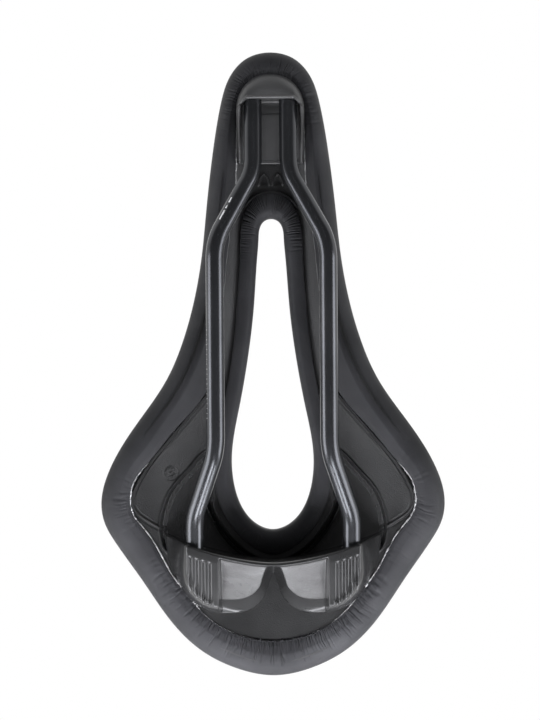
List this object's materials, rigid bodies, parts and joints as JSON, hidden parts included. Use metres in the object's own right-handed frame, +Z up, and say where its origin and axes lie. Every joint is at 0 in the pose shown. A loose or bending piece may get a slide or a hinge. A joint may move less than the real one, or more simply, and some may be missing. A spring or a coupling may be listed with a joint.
{
  "type": "bicycle saddle",
  "caption": "Short-nosed padded road bicycle saddle on two round rails, with a tear-drop relief opening, a moulded base shell and a fluted rear rail bridge.",
  "frame": {"origin": "half way between the two rails' centre lines, at their level, at the middle of the length that a seat-post clamp may hold", "axes": "+Y forwards to the nose, +Z up to the rider, X to the side across the rails"},
  "size_m": [0.1354, 0.2467, 0.0506],
  "materials": {
    "cover_microfibre": "matt grained microfibre",
    "pad_foam": "open-cell foam",
    "shell_nylon": "matt spark-textured nylon",
    "bridge_nylon": "glossy moulded nylon",
    "holder_nylon": "satin moulded nylon",
    "rail_paint": "satin black paint",
    "boot_rubber": "matt elastomer",
    "screw_steel": "zinc-plated"
  },
  "bodies": {
    "root": {"cover": "cover_microfibre", "foam_pad": "pad_foam", "base_shell": "shell_nylon", "rear_bridge": "bridge_nylon", "nose_holder": "holder_nylon", "rail_left": "rail_paint", "rail_right": "rail_paint", "rear_boot_left": "boot_rubber", "rear_boot_right": "boot_rubber", "bridge_screws": "screw_steel", "nose_screw": "screw_steel"}
  },
  "joints": []
}
